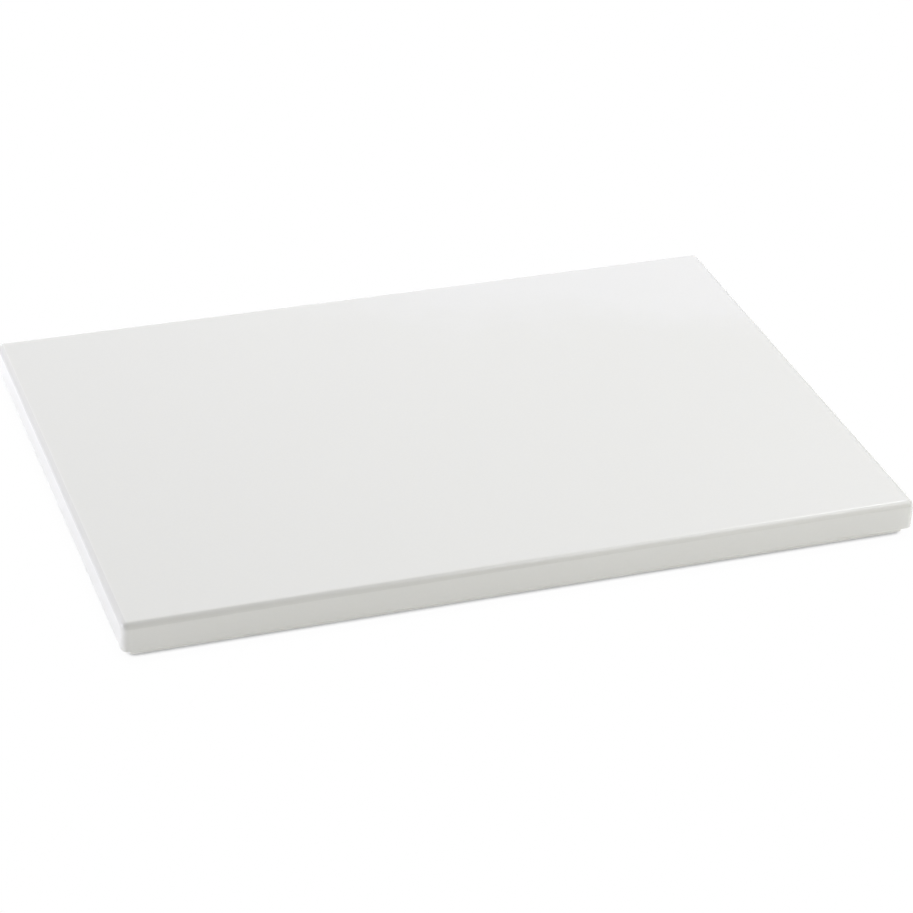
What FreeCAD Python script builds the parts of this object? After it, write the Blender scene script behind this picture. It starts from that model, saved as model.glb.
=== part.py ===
"""Two-layer polyethylene cutting board on four press-in rubber feet, as a FreeCAD model in millimetres.

The cutting slab is the thick top layer. The base plate is a thinner layer of the same outline, set in from the
slab's sides all round. Each foot is a rubber plug: its head sits in a counterbore under the base plate and stands
a little proud of it, and its barbed stem runs through the plate into a blind bore in the slab, so that the feet
also locate the two layers on each other.

Frame: +Z up, +X along the board's length, origin on the resting plane under the middle of the board.
"""

import FreeCAD
import Part

import math
import os

# Board as a whole
BOARD_LENGTH = 400.0
BOARD_WIDTH = 280.0
BOARD_HEIGHT = 20.0

# Cutting slab
SLAB_THICKNESS = 15.0
SLAB_CORNER_RADIUS = 4.0
TOP_EDGE_RADIUS = 3.5
LOWER_EDGE_RADIUS = 0.6

# Base plate
BASE_THICKNESS = 4.0
BASE_INSET = 4.0
BASE_CORNER_RADIUS = 1.5
BASE_EDGE_RADIUS = 0.5

# Feet and the holes that take them
FOOT_INSET = 34.0
FOOT_HEAD_RADIUS = 11.0
FOOT_EDGE_RADIUS = 0.8
FOOT_DISH_RADIUS = 5.5
FOOT_DISH_DEPTH = 0.5
COUNTERBORE_DEPTH = 2.0
COUNTERBORE_CLEARANCE = 0.3
BORE_RADIUS = 4.0
BORE_DEPTH = 9.0
DRILL_POINT_ANGLE = 118.0
STEM_RADIUS = 3.4
STEM_DEPTH_IN_SLAB = 8.0
STEM_TIP_RADIUS = 2.2
BARB_COUNT = 3
BARB_PITCH = 2.2

# Heights that follow from the sizes above
SLAB_BOTTOM = BOARD_HEIGHT - SLAB_THICKNESS
BASE_BOTTOM = SLAB_BOTTOM - BASE_THICKNESS
COUNTERBORE_TOP = BASE_BOTTOM + COUNTERBORE_DEPTH
COUNTERBORE_RADIUS = FOOT_HEAD_RADIUS + COUNTERBORE_CLEARANCE

# Name of each foot, with the side of the board that it stands on along X and Y
FOOT_SIDES = {
    "foot_front_left": (-1, -1),
    "foot_front_right": (1, -1),
    "foot_rear_left": (-1, 1),
    "foot_rear_right": (1, 1),
}

Z_AXIS = FreeCAD.Vector(0, 0, 1)


def rounded_plate(length, width, bottom, thickness, corner_radius):
    """A flat plate centred on the Z axis, its underside at the height bottom and its upright edges rounded."""
    corner = FreeCAD.Vector(-length / 2, -width / 2, bottom)
    plate = Part.makeBox(length, width, thickness, corner)
    upright = [edge for edge in plate.Edges if abs(edge.tangentAt(edge.FirstParameter).z) > 0.5]
    return plate.makeFillet(corner_radius, upright)


def edges_at_height(solid, height):
    """The solid's edges that lie wholly in the level plane at this height."""
    level = 1e-6
    return [
        edge
        for edge in solid.Edges
        if abs(edge.BoundBox.ZMin - height) < level and abs(edge.BoundBox.ZMax - height) < level
    ]


def foot_centre(sides, height):
    """The point on a foot's axis at this height."""
    side_x, side_y = sides
    x = side_x * (BOARD_LENGTH / 2 - FOOT_INSET)
    y = side_y * (BOARD_WIDTH / 2 - FOOT_INSET)
    return FreeCAD.Vector(x, y, height)


def blind_bore(centre):
    """The space that a drill leaves going up from centre: a cylinder with the drill point's cone above it."""
    cone_height = BORE_RADIUS / math.tan(math.radians(DRILL_POINT_ANGLE / 2))
    cylinder = Part.makeCylinder(BORE_RADIUS, BORE_DEPTH, centre, Z_AXIS)
    tip_base = centre + FreeCAD.Vector(0, 0, BORE_DEPTH)
    cone = Part.makeCone(BORE_RADIUS, 0, cone_height, tip_base, Z_AXIS)
    return cylinder.fuse(cone).removeSplitter()


def cutting_slab():
    """The thick top layer, with a large round on its top edge and a blind bore above each foot."""
    slab = rounded_plate(BOARD_LENGTH, BOARD_WIDTH, SLAB_BOTTOM, SLAB_THICKNESS, SLAB_CORNER_RADIUS)
    slab = slab.makeFillet(TOP_EDGE_RADIUS, edges_at_height(slab, BOARD_HEIGHT))
    slab = slab.makeFillet(LOWER_EDGE_RADIUS, edges_at_height(slab, SLAB_BOTTOM))
    for sides in FOOT_SIDES.values():
        slab = slab.cut(blind_bore(foot_centre(sides, SLAB_BOTTOM)))
    return slab


def base_plate():
    """The thin lower layer, with a counterbored hole for each foot."""
    length = BOARD_LENGTH - 2 * BASE_INSET
    width = BOARD_WIDTH - 2 * BASE_INSET
    plate = rounded_plate(length, width, BASE_BOTTOM, BASE_THICKNESS, BASE_CORNER_RADIUS)
    plate = plate.makeFillet(BASE_EDGE_RADIUS, edges_at_height(plate, BASE_BOTTOM))
    for sides in FOOT_SIDES.values():
        centre = foot_centre(sides, BASE_BOTTOM)
        plate = plate.cut(Part.makeCylinder(BORE_RADIUS, BASE_THICKNESS, centre, Z_AXIS))
        plate = plate.cut(Part.makeCylinder(COUNTERBORE_RADIUS, COUNTERBORE_DEPTH, centre, Z_AXIS))
    return plate


def stem_outline():
    """Radius and height of each point up the barbed stem, from the top of the head to the middle of the tip.

    Each barb is a flat ledge below a cone, so it slides in and resists being pulled out. Its crest just meets
    the wall of the bore.
    """
    top = SLAB_BOTTOM + STEM_DEPTH_IN_SLAB
    points = [(STEM_RADIUS, COUNTERBORE_TOP)]
    for barb in range(BARB_COUNT, 0, -1):
        ledge = top - barb * BARB_PITCH
        tip_radius = STEM_TIP_RADIUS if barb == 1 else STEM_RADIUS
        points.append((STEM_RADIUS, ledge))
        points.append((BORE_RADIUS, ledge))
        points.append((tip_radius, ledge + BARB_PITCH))
    distinct = [points[0]]
    for point in points[1:]:
        if point != distinct[-1]:
            distinct.append(point)
    distinct.append((0.0, top))
    return distinct


def foot(sides):
    """One rubber foot, turned about its own axis: dished head with a rounded rim, and barbed stem."""

    def at(radius, height):
        return FreeCAD.Vector(radius, 0, height)

    diagonal = FOOT_EDGE_RADIUS * math.sqrt(0.5)
    rim_middle = at(
        FOOT_HEAD_RADIUS - FOOT_EDGE_RADIUS + diagonal,
        FOOT_EDGE_RADIUS - diagonal,
    )
    rim_foot = at(FOOT_HEAD_RADIUS - FOOT_EDGE_RADIUS, 0)
    rim_side = at(FOOT_HEAD_RADIUS, FOOT_EDGE_RADIUS)
    dish_middle = at(0, FOOT_DISH_DEPTH)
    dish_lip = at(FOOT_DISH_RADIUS, 0)
    head_top = at(FOOT_HEAD_RADIUS, COUNTERBORE_TOP)
    stem = [at(radius, height) for radius, height in stem_outline()]

    sphere_radius = (FOOT_DISH_RADIUS**2 + FOOT_DISH_DEPTH**2) / (2 * FOOT_DISH_DEPTH)
    half_way = FOOT_DISH_RADIUS / 2
    fall = sphere_radius - math.sqrt(sphere_radius**2 - half_way**2)
    dish_point = at(half_way, FOOT_DISH_DEPTH - fall)

    edges = [
        Part.Arc(dish_middle, dish_point, dish_lip).toShape(),
        Part.makeLine(dish_lip, rim_foot),
        Part.Arc(rim_foot, rim_middle, rim_side).toShape(),
        Part.makeLine(rim_side, head_top),
        Part.makeLine(head_top, stem[0]),
    ]
    edges += [Part.makeLine(start, end) for start, end in zip(stem, stem[1:])]
    edges.append(Part.makeLine(stem[-1], dish_middle))

    profile = Part.Face(Part.Wire(edges))
    turned = profile.revolve(FreeCAD.Vector(0, 0, 0), Z_AXIS, 360)
    turned.translate(foot_centre(sides, 0))
    return turned


def as_solid(shape):
    """The one valid solid in this shape, with its faces pointing outwards."""
    solid = shape.Solids[0]
    if solid.Volume < 0:
        solid.reverse()
    if len(shape.Solids) != 1 or not solid.isValid():
        raise ValueError("a piece isn't one valid solid")
    return solid


def main():
    """Builds every piece and writes each to its own STEP file."""
    os.makedirs("parts", exist_ok=True)
    pieces = {"cutting_slab": cutting_slab(), "base_plate": base_plate()}
    for name, sides in FOOT_SIDES.items():
        pieces[name] = foot(sides)
    for name, shape in pieces.items():
        solid = as_solid(shape)
        solid.exportStep(f"parts/{name}.step")
        box = solid.BoundBox
        print(f"{name}: {solid.Volume / 1000:.2f} cm3, z {box.ZMin:.2f} to {box.ZMax:.2f} mm")


main()
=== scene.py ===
"""The looks of a two-layer polyethylene cutting board on four press-in rubber feet.

Lengths are in metres, +Z is up and +X runs along the board's longer side. The origin is on the plane that
the feet stand on, under the middle of the board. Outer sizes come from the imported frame. The radii of
edges, bores and feet, which a box doesn't give, are the fields of the classes below.
"""

import logging
import math
from collections.abc import Sequence
from dataclasses import dataclass
from enum import Enum

import bmesh
import bpy
import numpy as np
from mathutils import Matrix, Vector


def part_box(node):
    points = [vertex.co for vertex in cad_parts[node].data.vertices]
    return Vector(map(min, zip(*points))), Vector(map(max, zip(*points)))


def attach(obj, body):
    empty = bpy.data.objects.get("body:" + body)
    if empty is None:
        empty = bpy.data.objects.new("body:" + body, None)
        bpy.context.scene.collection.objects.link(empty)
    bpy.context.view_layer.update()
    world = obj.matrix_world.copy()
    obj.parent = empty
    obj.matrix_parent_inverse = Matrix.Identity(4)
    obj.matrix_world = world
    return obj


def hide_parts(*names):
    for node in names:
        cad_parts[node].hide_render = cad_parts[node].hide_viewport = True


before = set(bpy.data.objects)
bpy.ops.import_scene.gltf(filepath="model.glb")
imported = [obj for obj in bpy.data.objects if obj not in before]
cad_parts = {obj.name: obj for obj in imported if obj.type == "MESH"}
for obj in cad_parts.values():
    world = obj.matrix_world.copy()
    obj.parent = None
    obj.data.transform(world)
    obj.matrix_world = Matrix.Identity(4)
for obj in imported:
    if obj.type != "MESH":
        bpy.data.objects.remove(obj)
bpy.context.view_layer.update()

log = logging.getLogger("cutting_board")

MM = 0.001
BODY = "root"
JOIN_WITHIN = 0.002 * MM
SHARP_FROM = math.radians(32)
FIRST_CORNER = math.radians(-135)
FULL_TURN = 2 * math.pi
SIDE_FROM = 0.8
TINY = 1e-9
PLACE_DIGITS = 6
LINE_DIGITS = 7
WHITE = (1.0, 1.0, 1.0, 1.0)
EDGE_ATTRIBUTE = "edge"
SIDE_ATTRIBUTE = "side"

Profile = list[tuple[float, float]]
Colour = tuple[float, float, float]


class Layer(Enum):
    """The two sheets of the board, by the name of their node."""

    SLAB = "cutting_slab"
    BASE = "base_plate"


class Slot(Enum):
    """Material slots of the record."""

    SLAB = "slab_polyethylene"
    BASE = "base_polyethylene"
    FOOT = "foot_rubber"


# --------------------------------------------------------------------------------------------------
# Surfaces as arrays
# --------------------------------------------------------------------------------------------------


@dataclass(frozen=True)
class Patch:
    """A stretch of surface: its points, and its faces as four point numbers each."""

    points: np.ndarray
    quads: np.ndarray


def grid_patch(points: np.ndarray, closed: bool = False, keep: np.ndarray | None = None) -> Patch:
    """Turns a grid of points into a patch.

    Each face joins a point to its neighbour along the row, the one diagonally beyond, and the one in the
    next row.

    Args:
        points: Grid of points, rows by columns by three.
        closed: Whether each row's last point is followed by its first.
        keep: Which cells become faces, rows less one by columns less one. All of them if it is left out.

    Returns:
        The patch, with its points row after row.
    """
    rows, columns = points.shape[:2]
    number = np.arange(rows * columns).reshape(rows, columns)
    following = np.roll(number, -1, axis=1) if closed else number[:, 1:]
    first = number if closed else number[:, :-1]
    quads = np.stack([first[:-1], following[:-1], following[1:], first[1:]], axis=-1)
    cells = quads.reshape(-1, 4) if keep is None else quads[keep]
    return Patch(points.reshape(-1, 3), cells)


def raised(flat: np.ndarray, height: float | np.ndarray) -> np.ndarray:
    """Gives a grid of flat points their height: one for all of them, or one for each row."""
    level = np.broadcast_to(np.reshape(height, (-1, 1, 1)), flat.shape[:2] + (1,))
    return np.concatenate([flat, level], axis=-1)


def carried(profile: Profile, centre: np.ndarray, outward: np.ndarray) -> Patch:
    """The closed band that a profile leaves when it is carried round.

    A point is its centre plus the profile's distance times its outward direction, at the profile's height.

    Args:
        profile: Distance outwards and height of each row.
        centre: The place that the distance is measured from, one for all columns or one for each.
        outward: Outward direction of each column.

    Returns:
        The band.
    """
    distance, height = np.array(profile).T
    return grid_patch(raised(centre + distance[:, None, None] * outward, height), closed=True)


def arc(centre: tuple[float, float], radius: float, start: float, end: float, steps: int) -> Profile:
    """Points along a circle's arc in a plane of radius and height.

    A point is the centre plus the arc's radius times the cosine and sine of its angle.

    Args:
        centre: The circle's centre, as distance from the axis and height.
        radius: The circle's radius.
        start: Angle of the first point, in degrees from the outward direction.
        end: Angle of the last point, in degrees.
        steps: Number of steps from the first point to the last.

    Returns:
        The points, as distance from the axis and height.
    """
    angle = np.radians(np.linspace(start, end, steps + 1))
    across = centre[0] + radius * np.cos(angle)
    height = centre[1] + radius * np.sin(angle)
    return list(zip(across.tolist(), height.tolist()))


def square_loop(cells: int) -> np.ndarray:
    """Points round the square from -1 to 1, counter-clockwise from its lowest corner.

    The lower side's points are evenly spaced, and each quarter turn of them gives the next side.

    Args:
        cells: Number of points to a side.

    Returns:
        The points, one to a row.
    """
    step = np.arange(cells) * 2 / cells
    low = np.stack([step - 1, np.full(cells, -1.0)], axis=1)
    quarter = np.array([[0, 1], [-1, 0]])
    return np.concatenate([low @ np.linalg.matrix_power(quarter, turn) for turn in range(4)])


def circle_loop(count: int, start: float = 0.0) -> np.ndarray:
    """Unit directions round an axis, evenly spaced in angle from start, in radians."""
    angle = start + np.arange(count) * FULL_TURN / count
    return np.stack([np.cos(angle), np.sin(angle)], axis=1)


def add_object(name: str, data: bpy.types.ID) -> bpy.types.Object:
    """Adds an object to the scene.

    Args:
        name: Its name.
        data: Its mesh, light or camera.

    Returns:
        The object.
    """
    thing = bpy.data.objects.new(name, data)
    bpy.context.scene.collection.objects.link(thing)
    return thing


def make_piece(name: str, patches: Sequence[Patch]) -> bpy.types.Object:
    """Joins patches into one closed mesh object at the origin, with its faces pointing outwards.

    Args:
        name: Name of the object and its mesh.
        patches: Surfaces whose rims lie on each other.

    Returns:
        The new object, linked to the scene.
    """
    first = np.cumsum([0] + [len(patch.points) for patch in patches])
    points = np.concatenate([patch.points for patch in patches])
    quads = np.concatenate([patch.quads + start for patch, start in zip(patches, first)])
    mesh = bpy.data.meshes.new(name)
    mesh.from_pydata(points.tolist(), [], quads.tolist())
    work = bmesh.new()
    work.from_mesh(mesh)
    bmesh.ops.remove_doubles(work, verts=work.verts, dist=JOIN_WITHIN)
    bmesh.ops.recalc_face_normals(work, faces=work.faces)
    work.to_mesh(mesh)
    work.free()
    mesh.shade_smooth()
    mesh.set_sharp_from_angle(angle=SHARP_FROM)
    return add_object(name, mesh)


def read_points(mesh: bpy.types.Mesh) -> np.ndarray:
    """Reads the places of a mesh's points.

    Args:
        mesh: The mesh.

    Returns:
        The points, one to a row.
    """
    points = np.empty(len(mesh.vertices) * 3, np.float32)
    mesh.vertices.foreach_get("co", points)
    return points.reshape(-1, 3).astype(float)


def write_points(mesh: bpy.types.Mesh, points: np.ndarray) -> None:
    """Moves the mesh's points to these places."""
    mesh.vertices.foreach_set("co", points.astype(np.float32).ravel())
    mesh.update()


def write_attribute(mesh: bpy.types.Mesh, name: str, values: np.ndarray) -> None:
    """Gives each point of the mesh one number under this name."""
    attribute = mesh.attributes.new(name, "FLOAT", "POINT")
    attribute.data.foreach_set("value", values.astype(np.float32))


def smooth_step(low: float, high: float, values: np.ndarray) -> np.ndarray:
    """0 below low, 1 above high, and three times the share squared less twice its cube between them."""
    share = np.clip((values - low) / (high - low), 0, 1)
    return share * share * (3 - 2 * share)


# --------------------------------------------------------------------------------------------------
# The two sheets
# --------------------------------------------------------------------------------------------------


@dataclass(frozen=True)
class Bore:
    """A stepped round hole that opens in a sheet's underside.

    Attributes:
        x: Place of its axis along the board.
        y: Place of its axis across the board.
        profile: Radius and height of each turn of its wall, from the mouth upwards.
        through: Whether it opens in the sheet's top too. If not, its profile ends on the axis.
    """

    x: float
    y: float
    profile: Profile
    through: bool


@dataclass(frozen=True)
class GridLines:
    """Places of the grid lines across a sheet along one axis.

    Attributes:
        core: The nearest place on the core rectangle, which the rounded corners turn about.
        offset: How far past the core the line is, from -1 to 1 of the sheet's corner radius.
    """

    core: np.ndarray
    offset: np.ndarray


@dataclass(frozen=True)
class Sheet:
    """A rectangular sheet with rounded upright corners and rounded upper and lower edges.

    Attributes:
        name: Name of the piece.
        low: Lowest corner of its box.
        high: Highest corner of its box.
        corner_radius: Radius of the upright corners.
        upper_radius: Radius of the upper edge.
        lower_radius: Radius of the lower edge.
        bores: Holes in it.
        cell: Usual distance between grid lines.
        corner_cells: Cells across a corner each way, half the number round its arc.
        edge_steps: Steps round the upper edge. The lower edge has half as many.
        side_loops: Loops of points on the flat of the sides.
        side_guard: Distance of the outermost loops from the rounded edges, at most a quarter of the flat.
        block: Half the side of the square of grid that a bore takes up.
        block_cells: Cells along that square's side, a quarter of the number round the bore.
    """

    name: str
    low: Vector
    high: Vector
    corner_radius: float
    upper_radius: float
    lower_radius: float
    bores: tuple[Bore, ...]
    cell: float = 4 * MM
    corner_cells: int = 6
    edge_steps: int = 14
    side_loops: int = 4
    side_guard: float = 0.4 * MM
    block: float = 15 * MM
    block_cells: int = 16

    @property
    def half(self) -> tuple[float, float]:
        """Half the sheet's length and width."""
        return (self.high.x - self.low.x) / 2, (self.high.y - self.low.y) / 2

    def lines(self, half: float, centres: Sequence[float]) -> GridLines:
        """Grid lines along one axis, with each bore's square on whole cells.

        Args:
            half: Half the sheet's size along the axis.
            centres: Places of the bores' axes along it.

        Returns:
            The lines, in order.
        """
        reach = half - self.corner_radius
        breaks = {-reach, reach}
        for centre in centres:
            breaks |= {round(centre + side, LINE_DIGITS) for side in (-self.block, self.block)}
        ordered = sorted(breaks)
        runs = [np.array([-reach])]
        for start, end in zip(ordered, ordered[1:]):
            is_block = any(start < centre < end for centre in centres)
            count = self.block_cells if is_block else max(1, math.ceil((end - start) / self.cell))
            runs.append(np.linspace(start, end, count + 1)[1:])
        core = np.concatenate(runs)
        corner = np.arange(1, self.corner_cells + 1) / self.corner_cells
        ends = np.full(self.corner_cells, reach)
        return GridLines(
            np.concatenate([-ends, core, ends]),
            np.concatenate([-corner[::-1], np.zeros(len(core)), corner]),
        )

    def grids(self) -> tuple[GridLines, GridLines]:
        """Works out the grid lines both ways.

        Returns:
            Grid lines along X and along Y.
        """
        half_x, half_y = self.half
        along = self.lines(half_x, sorted({bore.x for bore in self.bores}))
        across = self.lines(half_y, sorted({bore.y for bore in self.bores}))
        return along, across

    def spread(self) -> tuple[np.ndarray, np.ndarray]:
        """Core point and outward direction of every point of the grid.

        The offset is a point in a square. Its direction times the larger of its two parts moves that square
        onto a disc, so the square's rim becomes a quarter circle.

        Returns:
            Core points and directions, both X lines by Y lines by two.
        """
        along, across = self.grids()
        core = np.stack(np.meshgrid(along.core, across.core, indexing="ij"), axis=-1)
        offset = np.stack(np.meshgrid(along.offset, across.offset, indexing="ij"), axis=-1)
        largest = np.abs(offset).max(axis=-1, keepdims=True)
        length = np.linalg.norm(offset, axis=-1, keepdims=True)
        return core, offset * largest / np.maximum(length, TINY)

    def cap(self, height: float, radius: float, hole_radii: Sequence[float]) -> list[Patch]:
        """A level face of the sheet, with a round hole for each bore.

        A point is its core point plus the corner radius left at this face times its direction.

        Args:
            height: Height of the face.
            radius: Corner radius left at the face's rim.
            hole_radii: Radius of each bore in this face, or nothing where the face is whole.

        Returns:
            The face without its squares, then the ring that fills each square.
        """
        core, direction = self.spread()
        flat = core + radius * direction
        middle = (flat[:-1, :-1] + flat[1:, 1:]) / 2
        keep = np.ones(middle.shape[:2], bool)
        rings = []
        for bore, hole_radius in zip(self.bores, hole_radii):
            centre = np.array([bore.x, bore.y])
            keep &= ~(np.abs(middle - centre).max(axis=-1) < self.block)
            rings.append(self.ring(centre, height, hole_radius))
        return [grid_patch(raised(flat, height), keep=keep)] + rings

    def ring(self, centre: np.ndarray, height: float, hole_radius: float) -> Patch:
        """The level surface between a bore's square of grid and its mouth.

        A point is on the line from the square's rim to the hole's, at equal steps.

        Args:
            centre: Place of the bore's axis.
            height: Height of the surface.
            hole_radius: Radius of the mouth.

        Returns:
            The surface.
        """
        steps = math.ceil((self.block - hole_radius) / self.cell) + 1
        share = np.linspace(0, 1, steps + 1)[:, None, None]
        outer = self.block * square_loop(self.block_cells)
        inner = hole_radius * circle_loop(4 * self.block_cells, FIRST_CORNER)
        return grid_patch(raised(centre + (1 - share) * outer + share * inner, height), closed=True)

    def bore_wall(self, bore: Bore) -> Patch:
        """The wall of a bore: its profile carried round its axis."""
        outward = circle_loop(4 * self.block_cells, FIRST_CORNER)
        return carried(bore.profile, np.array([bore.x, bore.y]), outward)

    def rim_profile(self) -> Profile:
        """Corner radius and height up the sheet's side.

        The corner radius shrinks by as much as an edge's round has come in from the side.

        Returns:
            The profile, from the underside to the top.
        """
        lower_centre = (self.corner_radius - self.lower_radius, self.low.z + self.lower_radius)
        upper_centre = (self.corner_radius - self.upper_radius, self.high.z - self.upper_radius)
        lower = arc(lower_centre, self.lower_radius, -90, 0, self.edge_steps // 2)
        upper = arc(upper_centre, self.upper_radius, 0, 90, self.edge_steps)
        guard = min(self.side_guard, (upper_centre[1] - lower_centre[1]) / 4)
        inner = np.linspace(lower_centre[1] + guard, upper_centre[1] - guard, self.side_loops)
        return lower + [(self.corner_radius, float(height)) for height in inner] + upper

    def rim(self) -> Patch:
        """The sheet's sides: the rim profile carried round the core rectangle.

        Returns:
            The sides with the rounded edges.
        """
        core, direction = self.spread()
        loops = []
        for values in (core, direction):
            sides = [values[:-1, 0], values[-1, :-1], values[:0:-1, -1], values[0, :0:-1]]
            loops.append(np.concatenate(sides))
        return carried(self.rim_profile(), loops[0], loops[1])

    def build(self) -> bpy.types.Object:
        """Makes the sheet as one closed mesh, with its edge and side shares on its points.

        Returns:
            The sheet.
        """
        lower_radius = self.corner_radius - self.lower_radius
        upper_radius = self.corner_radius - self.upper_radius
        below = [bore.profile[0][0] for bore in self.bores]
        above = [bore.profile[-1][0] for bore in self.bores if bore.through]
        patches = self.cap(self.low.z, lower_radius, below)
        patches += self.cap(self.high.z, upper_radius, above)
        patches.append(self.rim())
        patches += [self.bore_wall(bore) for bore in self.bores]
        piece = make_piece(self.name, patches)
        self.mark(piece.data)
        return piece

    def mark(self, mesh: bpy.types.Mesh) -> None:
        """Writes how much each point belongs to a rounded edge and to an upright side.

        The way in from the side is the corner radius less the distance past the core rectangle. The edge
        share is the sine of twice the surface's tilt: 1 where it has turned half way from level to upright,
        and 0 on the level and upright faces. The side share rises over the last fifth of the way out.

        Args:
            mesh: The sheet's mesh.
        """
        points = read_points(mesh)
        core = np.array(self.half) - self.corner_radius
        centre = np.array([(self.low.x + self.high.x) / 2, (self.low.y + self.high.y) / 2])
        past = np.maximum(np.abs(points[:, :2] - centre) - core, 0)
        inset = self.corner_radius - np.linalg.norm(past, axis=1)
        share = np.clip(1 - inset / self.upper_radius, 0, 1)
        over = points[:, 2] > self.high.z - self.upper_radius
        slope = 2 * share * np.sqrt(1 - share**2)
        write_attribute(mesh, EDGE_ATTRIBUTE, np.where(over, slope, 0))
        write_attribute(mesh, SIDE_ATTRIBUTE, smooth_step(SIDE_FROM, 1.0, share))


@dataclass(frozen=True)
class FootSockets:
    """The holes that take the feet, in the slab and in the base plate.

    Attributes:
        bore_radius: Radius of the stem's hole in both sheets.
        bore_depth: Depth of the blind hole in the slab, up to its drill point.
        drill_point: Height of the cone that the drill leaves.
        counterbore_radius: Radius of the recess for the foot's head.
        counterbore_depth: Depth of that recess in the base plate.
    """

    bore_radius: float = 4 * MM
    bore_depth: float = 9 * MM
    drill_point: float = 2.4 * MM
    counterbore_radius: float = 11.3 * MM
    counterbore_depth: float = 2 * MM

    def places(self) -> list[tuple[float, float]]:
        """Place of each foot's axis, from the boxes of the feet."""
        centres = [sum(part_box(name), Vector()) / 2 for name in foot_names()]
        return [(round(centre.x, PLACE_DIGITS), round(centre.y, PLACE_DIGITS)) for centre in centres]

    def in_slab(self, underside: float) -> tuple[Bore, ...]:
        """Blind bores that open in the slab's underside.

        Args:
            underside: Height of the underside.

        Returns:
            A bore for each foot.
        """
        top = underside + self.bore_depth
        profile = [
            (self.bore_radius, underside),
            (self.bore_radius, top),
            (0.0, top + self.drill_point),
        ]
        return tuple(Bore(x, y, profile, through=False) for x, y in self.places())

    def in_base(self, underside: float, top: float) -> tuple[Bore, ...]:
        """Counterbored holes right through the base plate.

        Args:
            underside: Height of the plate's underside.
            top: Height of its top.

        Returns:
            A hole for each foot.
        """
        ledge = underside + self.counterbore_depth
        profile = [
            (self.counterbore_radius, underside),
            (self.counterbore_radius, ledge),
            (self.bore_radius, ledge),
            (self.bore_radius, top),
        ]
        return tuple(Bore(x, y, profile, through=True) for x, y in self.places())


def foot_names() -> list[str]:
    """Names of the nodes that are feet."""
    return sorted(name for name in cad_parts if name.startswith("foot_"))


@dataclass(frozen=True)
class SheetWave:
    """The slight unevenness that pressing and milling leave in a sheet, always into the material.

    Attributes:
        depth: Deepest that the top dips.
        lengths: Wave lengths along and across the board.
        skews: How far each wave's crests lean, as the other axis's share in its distance.
        side_depth: Deepest that a milled side wanders inwards.
        side_length: Length of that wander along the side.
        side_shifts: How far the wander is shifted along the short and the long sides.
    """

    depth: float = 0.05 * MM
    lengths: tuple[float, float] = (170 * MM, 120 * MM)
    skews: tuple[float, float] = (0.35, -0.25)
    side_depth: float = 0.04 * MM
    side_length: float = 85 * MM
    side_shifts: tuple[float, float] = (10 * MM, -20 * MM)

    def apply(self, sheet: Sheet, mesh: bpy.types.Mesh) -> None:
        """Presses the sheet's top down and its sides in by smooth waves.

        The top's dip is half its depth times one less the product of a cosine each way. A side's dip is half
        its depth times one less the cosine of the distance along it. Both fade out over the upper edge.

        Args:
            sheet: The sheet that the mesh was built from.
            mesh: Its mesh.
        """
        points = read_points(mesh)
        x, y, z = points.T
        turn_x = FULL_TURN * (x + self.skews[0] * y) / self.lengths[0]
        turn_y = FULL_TURN * (y + self.skews[1] * x) / self.lengths[1]
        dip = self.depth / 2 * (1 - np.cos(turn_x) * np.cos(turn_y))
        rise = smooth_step(sheet.high.z - sheet.upper_radius, sheet.high.z, z)
        half_x, half_y = sheet.half
        out_x = smooth_step(half_x - sheet.upper_radius, half_x, np.abs(x))
        out_y = smooth_step(half_y - sheet.upper_radius, half_y, np.abs(y))
        turn = FULL_TURN / self.side_length
        in_x = self.side_depth / 2 * (1 - np.cos(turn * (y + self.side_shifts[0]))) * out_x
        in_y = self.side_depth / 2 * (1 - np.cos(turn * (x + self.side_shifts[1]))) * out_y
        moved = np.stack([x - np.sign(x) * in_x, y - np.sign(y) * in_y, z - dip * rise], axis=1)
        write_points(mesh, moved)


# --------------------------------------------------------------------------------------------------
# Feet
# --------------------------------------------------------------------------------------------------


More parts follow.
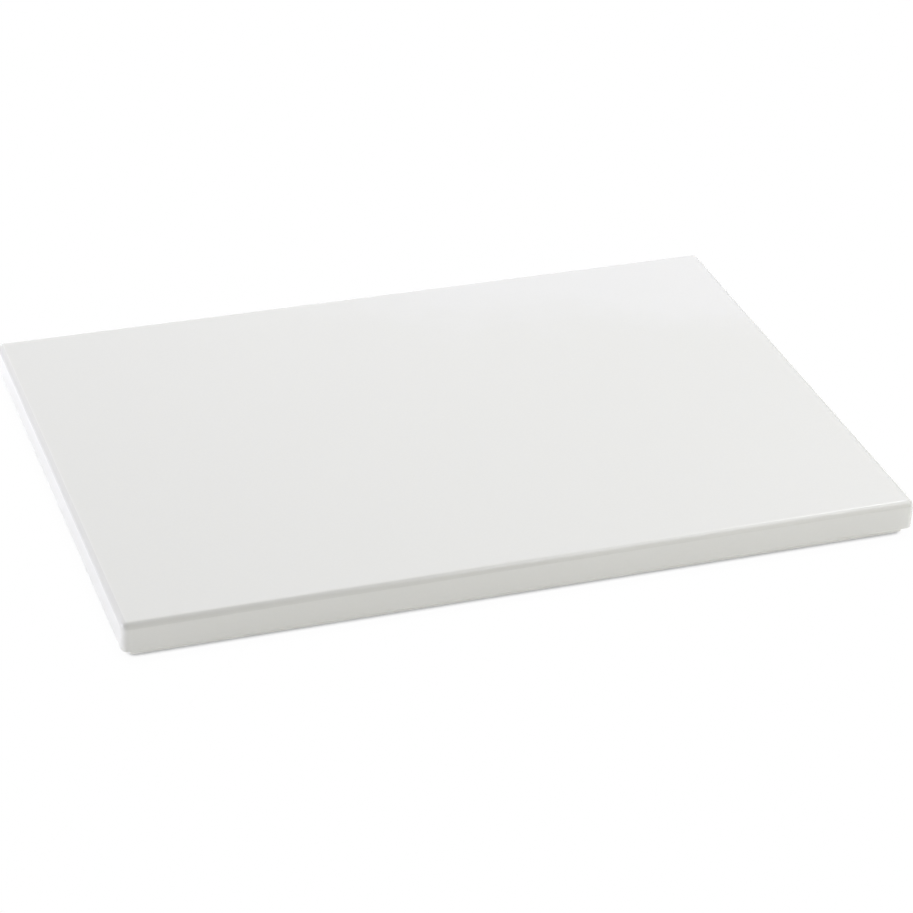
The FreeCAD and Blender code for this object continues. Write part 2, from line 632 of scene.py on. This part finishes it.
@dataclass(frozen=True)
class Foot:
    """A press-in rubber foot: a dished round head with a rounded rim, and a barbed stem.

    Attributes:
        name: Name of the CAD node that it stands for.
        edge_radius: Radius of the head's lower rim.
        dish_radius: Radius of the shallow dish under the head.
        dish_depth: Depth of that dish in the middle.
        head_top: Height of the head's flat back above the foot's lowest point.
        stem_radius: Radius of the stem between barbs.
        barb_radius: Radius of a barb's crest.
        tip_radius: Radius of the flat end of the stem.
        barbs: Number of barbs.
        pitch: Height of one barb.
        turns: Number of faces round the axis.
        arc_steps: Steps along the dish and round the head's lower rim.
    """

    name: str
    edge_radius: float = 0.8 * MM
    dish_radius: float = 5.5 * MM
    dish_depth: float = 0.5 * MM
    head_top: float = 3 * MM
    stem_radius: float = 3.4 * MM
    barb_radius: float = 4 * MM
    tip_radius: float = 2.2 * MM
    barbs: int = 3
    pitch: float = 2.2 * MM
    turns: int = 96
    arc_steps: int = 8

    def profile(self) -> Profile:
        """The outline of the foot.

        Returns:
            Distance from the axis and height, from the middle of the dish to the middle of the tip.
        """
        low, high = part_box(self.name)
        head_radius = (high.x - low.x) / 2
        bowl_radius = (self.dish_radius**2 + self.dish_depth**2) / (2 * self.dish_depth)
        spread = math.degrees(math.asin(self.dish_radius / bowl_radius))
        bowl_centre = (0.0, low.z + self.dish_depth - bowl_radius)
        dish = arc(bowl_centre, bowl_radius, 90, 90 - spread, self.arc_steps)
        rim_centre = (head_radius - self.edge_radius, low.z + self.edge_radius)
        rim = arc(rim_centre, self.edge_radius, -90, 0, self.arc_steps)
        head = [(head_radius, low.z + self.head_top)]
        return [(0.0, dish[0][1])] + dish[1:] + rim + head + self.stem_profile(low.z, high.z)

    def stem_profile(self, low: float, high: float) -> Profile:
        """The stem's outline: each barb is a flat ledge with a cone above it.

        Args:
            low: Height of the foot's lowest point.
            high: Height of its tip.

        Returns:
            Distance from the axis and height, from the back of the head to the middle of the tip.
        """
        outline = [(self.stem_radius, low + self.head_top)]
        for barb in range(self.barbs, 0, -1):
            ledge = high - barb * self.pitch
            end = self.tip_radius if barb == 1 else self.stem_radius
            outline += [(self.stem_radius, ledge), (self.barb_radius, ledge), (end, ledge + self.pitch)]
        return outline + [(0.0, high)]

    def build(self) -> bpy.types.Object:
        """Makes the foot by carrying its outline round its axis.

        Returns:
            The foot.
        """
        low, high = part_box(self.name)
        axis = np.array([(low.x + high.x) / 2, (low.y + high.y) / 2])
        return make_piece(f"{self.name}_rubber", [carried(self.profile(), axis, circle_loop(self.turns))])


# --------------------------------------------------------------------------------------------------
# Shared shader effects
# --------------------------------------------------------------------------------------------------


class NodeMaker:
    """Adds nodes to a shader's tree. A value is a socket, a number or a colour."""

    def __init__(self, tree: bpy.types.NodeTree) -> None:
        """Takes the tree to add to."""
        self.tree = tree

    def node(self, kind: str) -> bpy.types.ShaderNode:
        """A new shader node of this kind."""
        return self.tree.nodes.new(f"ShaderNode{kind}")

    def find(self, kind: str) -> bpy.types.ShaderNode:
        """The node of this type that the tree has already."""
        return next(node for node in self.tree.nodes if node.type == kind)

    def plug(self, socket: bpy.types.NodeSocket, value: object, kind: str = "") -> None:
        """Links a socket to an input, or sets the input's own value.

        Args:
            socket: The input. On a Mix node it is the first of several of that name.
            value: A socket, a number or a colour.
            kind: Socket type to choose among a Mix node's inputs of the same name.
        """
        if kind and socket.type != kind:
            socket = next(s for s in socket.node.inputs if s.name == socket.name and s.type == kind)
        if isinstance(value, bpy.types.NodeSocket):
            self.tree.links.new(value, socket)
        else:
            socket.default_value = value

    def maths(self, operation: str, *values: object) -> bpy.types.NodeSocket:
        """Result of a maths node.

        Args:
            operation: Name of what it does.
            values: Its values, in order.

        Returns:
            The result.
        """
        node = self.node("Math")
        node.operation = operation
        for socket, value in zip(node.inputs, values):
            self.plug(socket, value)
        return node.outputs[0]

    def ease(
        self,
        value: object,
        across: tuple[float, float],
        gives: tuple[float, float] = (0.0, 1.0),
    ) -> bpy.types.NodeSocket:
        """A value eased from one pair of limits to another.

        Args:
            value: The value.
            across: The limits that it is eased between.
            gives: What the result is at those limits and beyond.

        Returns:
            The result.
        """
        node = self.node("MapRange")
        node.interpolation_type = "SMOOTHSTEP"
        for label, number in zip(("From Min", "From Max", "To Min", "To Max"), across + gives):
            node.inputs[label].default_value = number
        self.plug(node.inputs["Value"], value)
        return node.outputs["Result"]

    def show(
        self,
        seen: bpy.types.NodeSocket,
        lit: bpy.types.NodeSocket,
        sink: bpy.types.NodeSocket,
    ) -> None:
        """Shows the camera one shader, and light that comes back another.

        Args:
            seen: The shader for the camera.
            lit: The shader for all other light.
            sink: Where the mixed shader goes.
        """
        path = self.node("LightPath")
        mix = self.node("MixShader")
        for socket, value in zip(mix.inputs, (path.outputs["Is Camera Ray"], lit, seen)):
            self.plug(socket, value)
        self.plug(sink, mix.outputs[0])


class GroupMaker(NodeMaker):
    """Builds a shader node group from named inputs and outputs."""

    def __init__(self, name: str, inputs: dict[str, tuple[str, object]], outputs: dict[str, str]) -> None:
        """Starts the group.

        Args:
            name: Name of the group.
            inputs: Socket type and default of each input, by name.
            outputs: Socket type of each output, by name.
        """
        super().__init__(bpy.data.node_groups.new(name, "ShaderNodeTree"))
        for label, (kind, default) in inputs.items():
            socket = self.tree.interface.new_socket(name=label, in_out="INPUT", socket_type=kind)
            if default is not None:
                socket.default_value = default
        for label, kind in outputs.items():
            self.tree.interface.new_socket(name=label, in_out="OUTPUT", socket_type=kind)
        self.source = self.tree.nodes.new("NodeGroupInput")
        self.sink = self.tree.nodes.new("NodeGroupOutput")

    def value(self, label: str) -> bpy.types.NodeSocket:
        """The socket that brings this input in."""
        return self.source.outputs[label]

    def give(self, label: str, socket: bpy.types.NodeSocket) -> None:
        """Sends a socket to this output."""
        self.tree.links.new(socket, self.sink.inputs[label])

    def vector_maths(self, operation: str, first: object, second: object) -> bpy.types.NodeSocket:
        """Result of a vector maths node.

        Args:
            operation: Name of what it does.
            first: Its first value.
            second: Its second value, which is a number for SCALE.

        Returns:
            The result.
        """
        node = self.node("VectorMath")
        node.operation = operation
        self.plug(node.inputs[0], first)
        self.plug(node.inputs["Scale" if operation == "SCALE" else 1], second)
        return node.outputs["Value" if operation == "DOT_PRODUCT" else "Vector"]

    def noise(self, vector: object, scale: object, detail: float, roughness: float) -> bpy.types.NodeSocket:
        """Fractal noise from 0 to 1.

        Args:
            vector: Coordinates.
            scale: Number of its largest features to a unit of the coordinates.
            detail: Number of finer octaves in it.
            roughness: Strength of each octave against the one before.

        Returns:
            The noise.
        """
        node = self.node("TexNoise")
        node.inputs["Detail"].default_value = detail
        node.inputs["Roughness"].default_value = roughness
        self.plug(node.inputs["Vector"], vector)
        self.plug(node.inputs["Scale"], scale)
        return node.outputs[0]

    def blend(self, share: object, first: object, second: object) -> bpy.types.NodeSocket:
        """A colour between two others.

        Args:
            share: How much of the second is in it.
            first: The first colour.
            second: The second colour.

        Returns:
            The blend.
        """
        node = self.node("Mix")
        node.data_type = "RGBA"
        self.plug(node.inputs["Factor"], share)
        self.plug(node.inputs["A"], first, "RGBA")
        self.plug(node.inputs["B"], second, "RGBA")
        return next(socket for socket in node.outputs if socket.type == "RGBA")


FLOAT = "NodeSocketFloat"
VECTOR = "NodeSocketVector"
COLOUR = "NodeSocketColor"
CLOUD_SOFTNESS = 0.5
MIDDLE = 0.5


def cloudy_tone_and_painted_light() -> bpy.types.NodeTree:
    """Slow cloudy change of tone across pressed plastic, with a fine speckle in it; a slope can gather a
    paler cloud at one end as painted light.

    The cloud is coarse noise, raised along a slope so that it gathers towards one end, and cut off below a
    level.
    Where a slope is given, the paler cloud gathered at that end is painted light. The speckle is fine noise
    about its middle, which lightens and darkens the colour a little.

    Returns:
        The node group.
    """
    inputs = {
        "Vector": (VECTOR, None),
        "Colour": (COLOUR, (0.8, 0.8, 0.8, 1)),
        "Cloud colour": (COLOUR, (0.7, 0.7, 0.7, 1)),
        "Scale": (FLOAT, 9.0),
        "Slope": (VECTOR, (0.0, 0.0, 0.0)),
        "Level": (FLOAT, 0.4),
        "Amount": (FLOAT, 0.3),
        "Speckle scale": (FLOAT, 700.0),
        "Speckle": (FLOAT, 0.02),
    }
    group = GroupMaker("cloudy tone and painted light", inputs, {"Colour": COLOUR, "Cloud": FLOAT})
    coarse = group.noise(group.value("Vector"), group.value("Scale"), detail=6, roughness=0.6)
    slope = group.vector_maths("DOT_PRODUCT", group.value("Vector"), group.value("Slope"))
    above = group.maths("SUBTRACT", group.maths("ADD", coarse, slope), group.value("Level"))
    cloud = group.ease(above, (0.0, CLOUD_SOFTNESS))
    share = group.maths("MULTIPLY", cloud, group.value("Amount"))
    tone = group.blend(share, group.value("Colour"), group.value("Cloud colour"))
    fine = group.noise(group.value("Vector"), group.value("Speckle scale"), detail=3, roughness=0.6)
    centred = group.maths("SUBTRACT", fine, MIDDLE)
    gain = group.maths("MULTIPLY_ADD", centred, group.value("Speckle"), 1.0)
    group.give("Colour", group.vector_maths("SCALE", tone, gain))
    group.give("Cloud", cloud)
    return group.tree


def fine_grain() -> bpy.types.NodeTree:
    """Height of a fine pressed or moulded grain, with a gentle orange peel under it.

    Returns:
        The node group.
    """
    inputs = {
        "Vector": (VECTOR, None),
        "Grain scale": (FLOAT, 2200.0),
        "Peel scale": (FLOAT, 260.0),
        "Grain": (FLOAT, 0.5),
        "Peel": (FLOAT, 0.5),
    }
    group = GroupMaker("fine grain", inputs, {"Height": FLOAT})
    fine = group.noise(group.value("Vector"), group.value("Grain scale"), detail=2, roughness=0.5)
    peel = group.noise(group.value("Vector"), group.value("Peel scale"), detail=1, roughness=0.4)
    swell = group.maths("MULTIPLY", peel, group.value("Peel"))
    group.give("Height", group.maths("MULTIPLY_ADD", fine, group.value("Grain"), swell))
    return group.tree


def cutter_marks() -> bpy.types.NodeTree:
    """Height of the faint level lines that an edge cutter leaves along a side.

    The lines are noise that changes quickly with height and slowly along the board.

    Returns:
        The node group.
    """
    inputs = {
        "Vector": (VECTOR, None),
        "Side": (FLOAT, 0.0),
        "Across": (FLOAT, 2600.0),
        "Along": (FLOAT, 14.0),
        "Depth": (FLOAT, 1.0),
    }
    group = GroupMaker("cutter marks", inputs, {"Height": FLOAT})
    split = group.node("SeparateXYZ")
    group.plug(split.inputs[0], group.value("Vector"))
    along = group.maths("ADD", split.outputs["X"], split.outputs["Y"])
    join = group.node("CombineXYZ")
    group.plug(join.inputs["X"], group.maths("MULTIPLY", along, group.value("Along")))
    group.plug(join.inputs["Z"], group.maths("MULTIPLY", split.outputs["Z"], group.value("Across")))
    lines = group.noise(join.outputs[0], scale=1.0, detail=2, roughness=0.5)
    deep = group.maths("MULTIPLY", lines, group.value("Depth"))
    group.give("Height", group.maths("MULTIPLY", deep, group.value("Side")))
    return group.tree


def worn_sheen() -> bpy.types.NodeTree:
    """Roughness of a satin surface whose edges are rubbed smoother, and whose cloud is a little duller.

    Returns:
        The node group.
    """
    inputs = {
        "Edge": (FLOAT, 0.0),
        "Cloud": (FLOAT, 0.5),
        "Face": (FLOAT, 0.4),
        "Rubbed": (FLOAT, 0.3),
        "Change": (FLOAT, 0.05),
    }
    group = GroupMaker("worn sheen", inputs, {"Roughness": FLOAT})
    less = group.maths("SUBTRACT", group.value("Face"), group.value("Rubbed"))
    rubbed = group.maths("MULTIPLY", less, group.value("Edge"))
    worn = group.maths("SUBTRACT", group.value("Face"), rubbed)
    cloud = group.maths("SUBTRACT", group.value("Cloud"), MIDDLE)
    change = group.maths("MULTIPLY", cloud, group.value("Change"))
    group.give("Roughness", group.maths("ADD", worn, change))
    return group.tree


@dataclass(frozen=True)
class Effects:
    """The shader node groups that the finishes share, each made once."""

    tone: bpy.types.NodeTree
    grain: bpy.types.NodeTree
    marks: bpy.types.NodeTree
    sheen: bpy.types.NodeTree

    @classmethod
    def make(cls) -> "Effects":
        """Builds every group."""
        return cls(cloudy_tone_and_painted_light(), fine_grain(), cutter_marks(), worn_sheen())


class MaterialMaker(NodeMaker):
    """A new material with one Principled shader, and helpers to feed it."""

    def __init__(self, name: str) -> None:
        """Starts the material and reads Object coordinates.

        Args:
            name: Name of the material.
        """
        self.material = bpy.data.materials.new(name)
        self.material.use_nodes = True
        super().__init__(self.material.node_tree)
        self.shader = self.find("BSDF_PRINCIPLED")
        self.place = self.node("TexCoord").outputs["Object"]

    def effect(self, group: bpy.types.NodeTree, **values: object) -> bpy.types.ShaderNode:
        """Places a shared group.

        Args:
            group: The group.
            values: Its inputs, by name with _ for a space.

        Returns:
            The group's node.
        """
        node = self.node("Group")
        node.node_tree = group
        for label, value in values.items():
            self.plug(node.inputs[label.replace("_", " ")], value)
        return node

    def attribute(self, name: str) -> bpy.types.NodeSocket:
        """Reads a number off the mesh's points.

        Args:
            name: Name of the attribute.

        Returns:
            The number.
        """
        node = self.node("Attribute")
        node.attribute_name = name
        return node.outputs["Fac"]

    def bump(self, height: bpy.types.NodeSocket, distance: float) -> None:
        """Feeds the shader's normal from a height.

        Args:
            height: The height, from 0 to about 1.
            distance: How high a height of 1 is.
        """
        node = self.node("Bump")
        node.inputs["Distance"].default_value = distance
        self.plug(node.inputs["Height"], height)
        self.feed("Normal", node.outputs["Normal"])

    def feed(self, socket: str, value: object) -> None:
        """Links or sets one of the shader's inputs."""
        self.plug(self.shader.inputs[socket], value)


# --------------------------------------------------------------------------------------------------
# Finishes
# --------------------------------------------------------------------------------------------------


@dataclass(frozen=True)
class Polyethylene:
    """Satin white polyethylene sheet.

    Attributes:
        name: Name of the material.
        colour: Its main colour.
        cloud: The colour of its clouds, paler than the main colour: random tone in part, and painted light
            in part where painted_light_slope gathers them at the rear right.
        cloud_scale: How many clouds there are to a metre.
        painted_light_slope: How the clouds gather, as the rise of their noise to a metre along each axis. It
            gathers the paler clouds at the rear right as painted light, lightening that end of the top.
        cloud_level: Level that the risen noise must pass to show as cloud.
        cloud_share: How much of the cloud's colour shows where the cloud is full.
        speckle: How far its fine speckle lightens and darkens it.
        face_roughness: Roughness of its faces.
        rubbed_roughness: Roughness of its rounded edges.
        grain: Share of fine grain in its bump.
        peel: Share of orange peel in its bump.
        mark_depth: Share of cutter marks in the bump of its sides.
        bump_distance: Height of the whole bump.
        refractive_index: How strongly it bends light.
        scatter_share: Share of the light that scatters inside it.
        scatter_reach: How far each of the three primaries scatters, against the depth.
        scatter_depth: Depth of that scattering.
    """

    name: str
    colour: Colour = (0.772, 0.772, 0.754)
    cloud: Colour = (0.797, 0.797, 0.792)
    cloud_scale: float = 13.0
    # Painted light: this slope gathers the paler clouds at the rear right, so that end of the sheet looks
    # more brightly lit.
    painted_light_slope: tuple[float, float, float] = (3.4, 7.5, 0.0)
    cloud_level: float = 1.25
    cloud_share: float = 1.0
    speckle: float = 0.04
    face_roughness: float = 0.45
    rubbed_roughness: float = 0.15
    grain: float = 0.25
    peel: float = 0.5
    mark_depth: float = 0.5
    bump_distance: float = 0.03 * MM
    refractive_index: float = 1.52
    scatter_share: float = 0.12
    scatter_reach: tuple[float, float, float] = (1.0, 0.95, 0.85)
    scatter_depth: float = 1.5 * MM

    def make(self, effects: Effects) -> bpy.types.Material:
        """Builds the material.

        Args:
            effects: The shared shader groups.

        Returns:
            The material.
        """
        maker = MaterialMaker(self.name)
        # The tone's cloud is partly painted light: its slope gathers the paler clouds at the rear right.
        tone = maker.effect(
            effects.tone,
            Vector=maker.place,
            Colour=(*self.colour, 1),
            Cloud_colour=(*self.cloud, 1),
            Scale=self.cloud_scale,
            Slope=self.painted_light_slope,
            Level=self.cloud_level,
            Amount=self.cloud_share,
            Speckle=self.speckle,
        )
        sheen = maker.effect(
            effects.sheen,
            Edge=maker.attribute(EDGE_ATTRIBUTE),
            Cloud=tone.outputs["Cloud"],
            Face=self.face_roughness,
            Rubbed=self.rubbed_roughness,
        )
        grain = maker.effect(effects.grain, Vector=maker.place, Grain=self.grain, Peel=self.peel)
        marks = maker.effect(
            effects.marks,
            Vector=maker.place,
            Side=maker.attribute(SIDE_ATTRIBUTE),
            Depth=self.mark_depth,
        )
        maker.feed("Base Color", tone.outputs["Colour"])
        maker.feed("Roughness", sheen.outputs["Roughness"])
        height = maker.maths("ADD", grain.outputs["Height"], marks.outputs["Height"])
        maker.bump(height, self.bump_distance)
        maker.feed("IOR", self.refractive_index)
        maker.feed("Subsurface Weight", self.scatter_share)
        maker.feed("Subsurface Radius", self.scatter_reach)
        maker.feed("Subsurface Scale", self.scatter_depth)
        return maker.material


@dataclass(frozen=True)
class Rubber:
    """Matt moulded rubber.

    Attributes:
        name: Name of the material.
        colour: Its main colour.
        chalk: The colour where it is a little chalky.
        chalk_scale: How many chalky places there are to a metre.
        chalk_share: How much of the chalk's colour shows there.
        speckle: How far its fine speckle lightens and darkens it.
        roughness: Roughness of its surface.
        roughness_change: How far the chalk changes that.
        grain: Share of fine grain in its bump.
        peel: Share of orange peel in its bump.
        bump_distance: Height of the whole bump.
    """

    name: str
    colour: Colour = (0.055, 0.057, 0.06)
    chalk: Colour = (0.085, 0.086, 0.088)
    chalk_scale: float = 180.0
    chalk_share: float = 0.7
    speckle: float = 0.1
    roughness: float = 0.72
    roughness_change: float = 0.12
    grain: float = 0.6
    peel: float = 0.3
    bump_distance: float = 0.05 * MM

    def make(self, effects: Effects) -> bpy.types.Material:
        """Builds the material.

        Args:
            effects: The shared shader groups.

        Returns:
            The material.
        """
        maker = MaterialMaker(self.name)
        tone = maker.effect(
            effects.tone,
            Vector=maker.place,
            Colour=(*self.colour, 1),
            Cloud_colour=(*self.chalk, 1),
            Scale=self.chalk_scale,
            Amount=self.chalk_share,
            Speckle=self.speckle,
        )
        sheen = maker.effect(
            effects.sheen,
            Cloud=tone.outputs["Cloud"],
            Face=self.roughness,
            Rubbed=self.roughness,
            Change=self.roughness_change,
        )
        grain = maker.effect(effects.grain, Vector=maker.place, Grain=self.grain, Peel=self.peel)
        maker.feed("Base Color", tone.outputs["Colour"])
        maker.feed("Roughness", sheen.outputs["Roughness"])
        maker.bump(grain.outputs["Height"], self.bump_distance)
        return maker.material


# --------------------------------------------------------------------------------------------------
# The board
# --------------------------------------------------------------------------------------------------


@dataclass(frozen=True)
class Board:
    """The whole cutting board: slab, base plate and feet.

    Attributes:
        sockets: Sizes of the holes for the feet.
        slab_corner_radius: Radius of the slab's upright corners.
        slab_upper_radius: Radius of the slab's top edge.
        slab_lower_radius: Radius of the slab's lower edge.
        base_corner_radius: Radius of the base plate's upright corners.
        base_lower_radius: Radius of the base plate's lower edge.
        base_upper_radius: Radius of the base plate's upper edge, only just taken off.
        wave: The slab's slight unevenness.
        slab_finish: The slab's finish.
        base_finish_painted_lighter: The base plate's finish, with duller edges, and whiter than the slab as
            painted light that makes up for the shade under the slab's overhang.
        foot_finish: The feet's finish.
    """

    sockets: FootSockets = FootSockets()
    slab_corner_radius: float = 4 * MM
    slab_upper_radius: float = 3.5 * MM
    slab_lower_radius: float = 0.6 * MM
    base_corner_radius: float = 1.5 * MM
    base_lower_radius: float = 0.5 * MM
    base_upper_radius: float = 0.05 * MM
    wave: SheetWave = SheetWave()
    slab_finish: Polyethylene = Polyethylene("slab polyethylene")
    # Painted light: the base plate is made whiter so that its set-back face, shaded by the slab above it,
    # looks as bright as the slab's side.
    base_finish_painted_lighter: Polyethylene = Polyethylene(
        "base polyethylene painted lighter",
        colour=(0.835, 0.835, 0.82),
        face_roughness=0.42,
        rubbed_roughness=0.34,
    )
    foot_finish: Rubber = Rubber("foot rubber")

    def slab(self) -> Sheet:
        """The thick layer that is cut on."""
        low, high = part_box(Layer.SLAB.value)
        return Sheet(
            name="cutting_slab_sheet",
            low=low,
            high=high,
            corner_radius=self.slab_corner_radius,
            upper_radius=self.slab_upper_radius,
            lower_radius=self.slab_lower_radius,
            bores=self.sockets.in_slab(low.z),
        )

    def base(self) -> Sheet:
        """The set-back layer under it."""
        low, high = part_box(Layer.BASE.value)
        return Sheet(
            name="base_plate_sheet",
            low=low,
            high=high,
            corner_radius=self.base_corner_radius,
            upper_radius=self.base_upper_radius,
            lower_radius=self.base_lower_radius,
            bores=self.sockets.in_base(low.z, high.z),
        )

    def build(self, effects: Effects) -> list[bpy.types.Object]:
        """Makes, dresses and mounts every piece.

        Args:
            effects: The shared shader groups.

        Returns:
            The pieces.
        """
        slab_sheet = self.slab()
        slab = slab_sheet.build()
        self.wave.apply(slab_sheet, slab.data)
        mount(slab, Layer.SLAB.value, self.slab_finish.make(effects))
        base = self.base().build()
        mount(base, Layer.BASE.value, self.base_finish_painted_lighter.make(effects))
        rubber = self.foot_finish.make(effects)
        feet = []
        for name in foot_names():
            foot = Foot(name).build()
            mount(foot, name, rubber)
            feet.append(foot)
        return [slab, base, *feet]


def mount(piece: bpy.types.Object, node: str, material: bpy.types.Material) -> None:
    """Dresses a piece, puts it on the board's body and hides its CAD node.

    Args:
        piece: The piece.
        node: Name of the CAD node.
        material: Its material.
    """
    piece.data.materials.append(material)
    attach(piece, BODY)
    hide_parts(node)


# --------------------------------------------------------------------------------------------------
# Studio
# --------------------------------------------------------------------------------------------------


@dataclass(frozen=True)
class Softbox:
    """A flat rectangular light that faces the board.

    Attributes:
        name: Name of the light.
        azimuth: Direction it stands in, in degrees. 0 is in front of the board and 90 at its right.
        elevation: How high it stands, in degrees.
        distance: Distance from the board's middle.
        width: Its width.
        height: Its height.
        power: Its power in watts.
        colour: Its colour.
    """

    name: str
    azimuth: float
    elevation: float
    distance: float
    width: float
    height: float
    power: float
    colour: Colour = (1.0, 1.0, 1.0)

    def place(self) -> None:
        """Adds the light to the scene, turned to the board's middle."""
        data = bpy.data.lights.new(self.name, "AREA")
        data.shape = "RECTANGLE"
        data.size = self.width
        data.size_y = self.height
        data.energy = self.power
        data.color = self.colour
        lamp = add_object(self.name, data)
        back = direction(self.azimuth, self.elevation)
        lamp.location = back * self.distance
        lamp.rotation_mode = "QUATERNION"
        lamp.rotation_quaternion = back.to_track_quat("Z", "Y")


def direction(azimuth: float, elevation: float) -> Vector:
    """Unit vector from the board towards a place at this azimuth and elevation, in degrees."""
    turn, rise = math.radians(azimuth), math.radians(elevation)
    return Vector((math.sin(turn) * math.cos(rise), -math.cos(turn) * math.cos(rise), math.sin(rise)))


@dataclass(frozen=True)
class Viewpoint:
    """The camera: it looks at a point near the board's middle, a little rolled.

    Attributes:
        azimuth: Direction it stands in, in degrees, 0 in front and negative to the left.
        elevation: How high it stands, in degrees.
        roll: How far it is turned about its own axis, in degrees.
        distance: Distance to the point that it looks at.
        aim_right: How far right of the origin that point is, across the view.
        aim_up: How far above the origin it is, across the view.
        lens: Focal length in millimetres, on the usual 36 mm sensor.
    """

    azimuth: float = -20.076
    elevation: float = 30.601
    roll: float = 2.270
    distance: float = 1.5792
    aim_right: float = 8.756 * MM
    aim_up: float = -1.837 * MM
    lens: float = 121.475

    def place(self) -> None:
        """Adds the camera and makes it the scene's."""
        back = direction(self.azimuth, self.elevation)
        right = Vector((math.cos(math.radians(self.azimuth)), math.sin(math.radians(self.azimuth)), 0))
        up = back.cross(right)
        turn = math.radians(self.roll)
        rolled_right = math.cos(turn) * right + math.sin(turn) * up
        rolled_up = math.cos(turn) * up - math.sin(turn) * right
        aim = self.aim_right * rolled_right + self.aim_up * rolled_up
        axes = Matrix((rolled_right, rolled_up, back)).transposed().to_4x4()
        data = bpy.data.cameras.new("camera")
        data.lens = self.lens
        camera = add_object("camera", data)
        camera.matrix_world = Matrix.Translation(aim + back * self.distance) @ axes
        bpy.context.scene.camera = camera


@dataclass(frozen=True)
class Studio:
    """A white table in a white room, with large soft lights.

    Attributes:
        table_half: Half the side of the table.
        table_colour: How much light it sends back.
        contact_reach: How far from the board the table is shaded by it.
        gap_open: How open to the room the table is where its shading in the gap under the board starts and
            ends.
        gap_white: How white it looks at those two ends.
        grazing: How much the table is seen edge on where it starts and ends turning to the far tone.
        far_tone: How white it and the room look where it is seen edge on.
        table_glow: Light that the table gives by itself, as a table lit from below does.
        room_light: Brightness of the room's walls.
        lights: The softboxes.
    """

    table_half: float = 12.0
    table_colour: float = 0.92
    contact_reach: float = 8 * MM
    gap_open: tuple[float, float] = (0.19, 0.28)
    gap_white: tuple[float, float] = (0.40, 0.985)
    grazing: tuple[float, float] = (0.64, 0.96)
    far_tone: float = 0.72
    table_glow: float = 0.273
    room_light: float = 0.163
    lights: tuple[Softbox, ...] = (
        Softbox("overhead_right", 80, 60, 2.1, 1.5, 1.0, 14.75),
        Softbox("rear_right", 132, 48, 2.2, 0.35, 0.24, 8.5, colour=(0.99, 0.99, 1.04)),
        Softbox("rear_mid", 135, 32, 2.2, 0.9, 0.6, 2.0),
        Softbox("right", 112, 25, 2.3, 1.4, 0.8, 5.5, colour=(1.0, 0.99, 1.06)),
        Softbox("rear", 175, 42, 2.2, 1.6, 1.0, 11.3, colour=(1.0, 1.0, 0.98)),
        Softbox("rear_low", 180, 10, 2.3, 1.6, 0.6, 5.8, colour=(0.99, 0.99, 1.08)),
        Softbox("rear_left", -152, 19, 2.3, 1.7, 0.9, 5.4, colour=(1.0, 1.0, 1.02)),
        Softbox("left", -120, 10, 2.3, 1.2, 0.6, 12.2, colour=(1.0, 1.0, 1.12)),
        Softbox("left_low", -95, 7, 2.3, 0.9, 0.5, 14.7, colour=(1.0, 1.0, 1.05)),
        Softbox("front_right_high", 50, 58, 2.3, 0.8, 0.5, 1.3),
        Softbox("front_right", 45, 30, 2.4, 1.8, 1.4, 13.0, colour=(1.0, 1.0, 0.94)),
        Softbox("front", 15, 18, 2.4, 2.6, 1.0, 1.0, colour=(1.0, 0.88, 0.2)),
    )

    def place(self) -> None:
        """Adds the table, the room and the lights."""
        self.place_table()
        self.place_room()
        for light in self.lights:
            light.place()
        bpy.context.scene.view_settings.view_transform = "Standard"

    def place_table(self) -> None:
        """Adds the table top at the height of the feet's lowest points."""
        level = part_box(foot_names()[0])[0].z
        corner = self.table_half * square_loop(1)
        points = np.concatenate([corner, np.full((4, 1), level)], axis=1)
        mesh = bpy.data.meshes.new("table")
        mesh.from_pydata(points.tolist(), [], [(0, 1, 2, 3)])
        table = add_object("table", mesh)
        mesh.materials.append(self.table_white())

    def table_white(self) -> bpy.types.Material:
        """White that lights the board.

        The camera sees it as even white, shaded only near the board, and greyer where it is seen edge on.

        Returns:
            The material.
        """
        maker = MaterialMaker("table white")
        maker.feed("Base Color", (*(self.table_colour,) * 3, 1))
        maker.feed("Roughness", 1.0)
        maker.feed("Specular IOR Level", 0.0)
        maker.feed("Emission Color", WHITE)
        maker.feed("Emission Strength", self.table_glow)
        near = maker.node("AmbientOcclusion")
        near.inputs["Distance"].default_value = self.contact_reach
        openness = near.outputs["AO"]
        gap = maker.ease(openness, self.gap_open, self.gap_white)
        beside = maker.ease(openness, (self.gap_open[1], 1.0), (0.0, 1 - self.gap_white[1]))
        facing = maker.node("LayerWeight").outputs["Facing"]
        far = maker.ease(facing, self.grazing, (1.0, self.far_tone))
        seen = maker.maths("MULTIPLY", maker.maths("ADD", gap, beside), far)
        glow = maker.node("Emission")
        maker.plug(glow.inputs["Strength"], seen)
        surface = maker.find("OUTPUT_MATERIAL").inputs["Surface"]
        maker.show(glow.outputs[0], maker.shader.outputs[0], surface)
        return maker.material

    def place_room(self) -> None:
        """Lights the room evenly, and shows it to the camera in the table's far tone."""
        world = bpy.data.worlds.new("room")
        world.use_nodes = True
        maker = NodeMaker(world.node_tree)
        lit = maker.find("BACKGROUND")
        seen = maker.node("Background")
        for shader, strength in ((lit, self.room_light), (seen, self.far_tone)):
            shader.inputs["Color"].default_value = WHITE
            shader.inputs["Strength"].default_value = strength
        maker.show(seen.outputs[0], lit.outputs[0], maker.find("OUTPUT_WORLD").inputs["Surface"])
        bpy.context.scene.world = world


def main() -> None:
    """Builds the board and the studio, and reports each piece."""
    logging.basicConfig(level=logging.INFO, format="%(name)s: %(message)s")
    Viewpoint().place()
    Studio().place()
    for piece in Board().build(Effects.make()):
        log.info("%s: %d faces", piece.name, len(piece.data.polygons))


if __name__ == "__main__":
    main()
